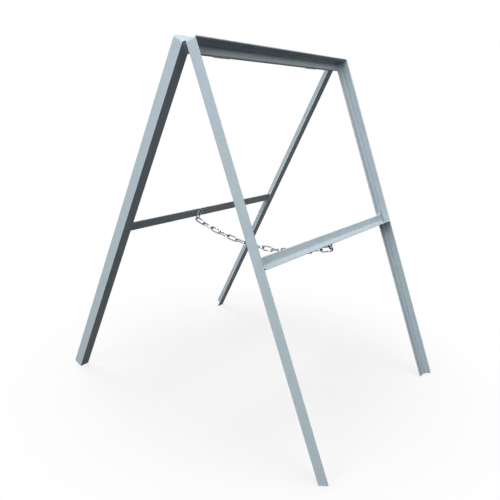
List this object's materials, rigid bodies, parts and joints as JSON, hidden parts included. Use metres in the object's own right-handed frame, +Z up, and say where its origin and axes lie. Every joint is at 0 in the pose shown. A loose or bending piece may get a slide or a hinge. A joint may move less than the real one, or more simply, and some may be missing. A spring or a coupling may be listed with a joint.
{
  "type": "folding sign stand",
  "caption": "Folding A-shaped sign stand of welded steel angle: hinged tray frames with a ledge for a sign plate, held apart by a slack chain of wire links.",
  "frame": {"origin": "floor level, under the middle of the stand", "axes": "+X across the width, to the right seen from the front; -Y towards the front frame; +Z up"},
  "size_m": [0.61, 0.8126, 0.8482],
  "materials": {
    "frame_steel": "satin grey paint on hot-rolled angle",
    "hinge_steel": "plain rolled hinge steel",
    "chain_zinc": "bright zinc-plated wire"
  },
  "bodies": {
    "front_frame": {"front_left_leg": "frame_steel", "front_right_leg": "frame_steel", "front_top_rail": "frame_steel", "front_crossbar": "frame_steel", "front_chain_staple": "chain_zinc", "left_hinge_front_leaf": "hinge_steel", "left_hinge_pin": "hinge_steel", "right_hinge_front_leaf": "hinge_steel", "right_hinge_pin": "hinge_steel"},
    "rear_frame": {"rear_left_leg": "frame_steel", "rear_right_leg": "frame_steel", "rear_top_rail": "frame_steel", "rear_crossbar": "frame_steel", "rear_chain_end_link": "chain_zinc", "left_hinge_rear_leaf": "hinge_steel", "right_hinge_rear_leaf": "hinge_steel"},
    "chain_link_01": {"chain_link_01": "chain_zinc"},
    "chain_link_02": {"chain_link_02": "chain_zinc"},
    "chain_link_03": {"chain_link_03": "chain_zinc"},
    "chain_link_04": {"chain_link_04": "chain_zinc"},
    "chain_link_05": {"chain_link_05": "chain_zinc"},
    "chain_link_06": {"chain_link_06": "chain_zinc"},
    "chain_link_07": {"chain_link_07": "chain_zinc"},
    "chain_link_08": {"chain_link_08": "chain_zinc"},
    "chain_link_09": {"chain_link_09": "chain_zinc"},
    "chain_link_10": {"chain_link_10": "chain_zinc"},
    "chain_link_11": {"chain_link_11": "chain_zinc"},
    "chain_link_12": {"chain_link_12": "chain_zinc"},
    "chain_link_13": {"chain_link_13": "chain_zinc"},
    "chain_link_14": {"chain_link_14": "chain_zinc"},
    "chain_link_15": {"chain_link_15": "chain_zinc"}
  },
  "joints": [
    {"name": "fold", "type": "hinge", "parent": "front_frame", "child": "rear_frame", "pos_m": [0, 0, 0.83514], "axis": [-1, 0, 0], "range_deg": [0, 48.8]},
    {"name": "chain_link_01_swing", "type": "hinge", "parent": "rear_frame", "child": "chain_link_01", "pos_m": [-0.043, 0.19839, 0.41124], "axis": [1, 0, 0], "range_deg": [0, 118.95]},
    {"name": "chain_link_02_slip", "type": "slide", "parent": "chain_link_01", "child": "chain_link_02", "axis": [0, 0.9624, 0.2718], "range_m": [0, 0.01911]},
    {"name": "chain_link_03_swing", "type": "hinge", "parent": "chain_link_02", "child": "chain_link_03", "pos_m": [-0.043, 0.14315, 0.39563], "axis": [1, 0, 0], "range_deg": [-8.03, 0]},
    {"name": "chain_link_04_slip", "type": "slide", "parent": "chain_link_03", "child": "chain_link_04", "axis": [0, 0.9826, 0.1856], "range_m": [0, 0.01911]},
    {"name": "chain_link_05_swing", "type": "hinge", "parent": "chain_link_04", "child": "chain_link_05", "pos_m": [-0.043, 0.08675, 0.38498], "axis": [1, 0, 0], "range_deg": [-5.53, 0]},
    {"name": "chain_link_06_slip", "type": "slide", "parent": "chain_link_05", "child": "chain_link_06", "axis": [0, 0.9955, 0.0949], "range_m": [0, 0.01911]},
    {"name": "chain_link_07_swing", "type": "hinge", "parent": "chain_link_06", "child": "chain_link_07", "pos_m": [-0.043, 0.0296, 0.37953], "axis": [1, 0, 0], "range_deg": [-48.06, 0]},
    {"name": "chain_link_15_swing", "type": "hinge", "parent": "front_frame", "child": "chain_link_15", "pos_m": [-0.043, -0.21997, 0.41993], "axis": [1, 0, 0], "range_deg": [-110.33, 0]},
    {"name": "chain_link_14_slip", "type": "slide", "parent": "chain_link_15", "child": "chain_link_14", "axis": [0, -0.9509, 0.3096], "range_m": [0, 0.01911]},
    {"name": "chain_link_13_swing", "type": "hinge", "parent": "chain_link_14", "child": "chain_link_13", "pos_m": [-0.043, -0.16539, 0.40216], "axis": [1, 0, 0], "range_deg": [0, 5.85]},
    {"name": "chain_link_12_slip", "type": "slide", "parent": "chain_link_13", "child": "chain_link_12", "axis": [0, -0.9741, 0.226], "range_m": [0, 0.01911]},
    {"name": "chain_link_11_swing", "type": "hinge", "parent": "chain_link_12", "child": "chain_link_11", "pos_m": [-0.043, -0.10948, 0.38918], "axis": [1, 0, 0], "range_deg": [0, 5.01]},
    {"name": "chain_link_10_slip", "type": "slide", "parent": "chain_link_11", "child": "chain_link_10", "axis": [0, -0.9905, 0.1372], "range_m": [0, 0.01911]},
    {"name": "chain_link_09_swing", "type": "hinge", "parent": "chain_link_10", "child": "chain_link_09", "pos_m": [-0.043, -0.05262, 0.38131], "axis": [1, 0, 0], "range_deg": [0, 8.01]},
    {"name": "chain_link_08_swing", "type": "hinge", "parent": "chain_link_09", "child": "chain_link_08", "pos_m": [-0.043, -0.02778, 0.37961], "axis": [1, 0, 0], "range_deg": [0, 89.27]}
  ],
  "couplings": [
    {"joint": "chain_link_01_swing", "follows": "fold", "ratio": 2.4374},
    {"joint": "chain_link_02_slip", "follows": "fold", "m_per_rad": 0.022425},
    {"joint": "chain_link_03_swing", "follows": "fold", "ratio": -0.16426},
    {"joint": "chain_link_04_slip", "follows": "fold", "m_per_rad": 0.022425},
    {"joint": "chain_link_05_swing", "follows": "fold", "ratio": -0.11317},
    {"joint": "chain_link_06_slip", "follows": "fold", "m_per_rad": 0.022425},
    {"joint": "chain_link_07_swing", "follows": "fold", "ratio": -0.98457},
    {"joint": "chain_link_15_swing", "follows": "fold", "ratio": -2.2607},
    {"joint": "chain_link_14_slip", "follows": "fold", "m_per_rad": 0.022425},
    {"joint": "chain_link_13_swing", "follows": "fold", "ratio": 0.11964},
    {"joint": "chain_link_12_slip", "follows": "fold", "m_per_rad": 0.022425},
    {"joint": "chain_link_11_swing", "follows": "fold", "ratio": 0.10245},
    {"joint": "chain_link_10_slip", "follows": "fold", "m_per_rad": 0.022425},
    {"joint": "chain_link_09_swing", "follows": "fold", "ratio": 0.1639},
    {"joint": "chain_link_08_swing", "follows": "fold", "ratio": 1.829}
  ]
}
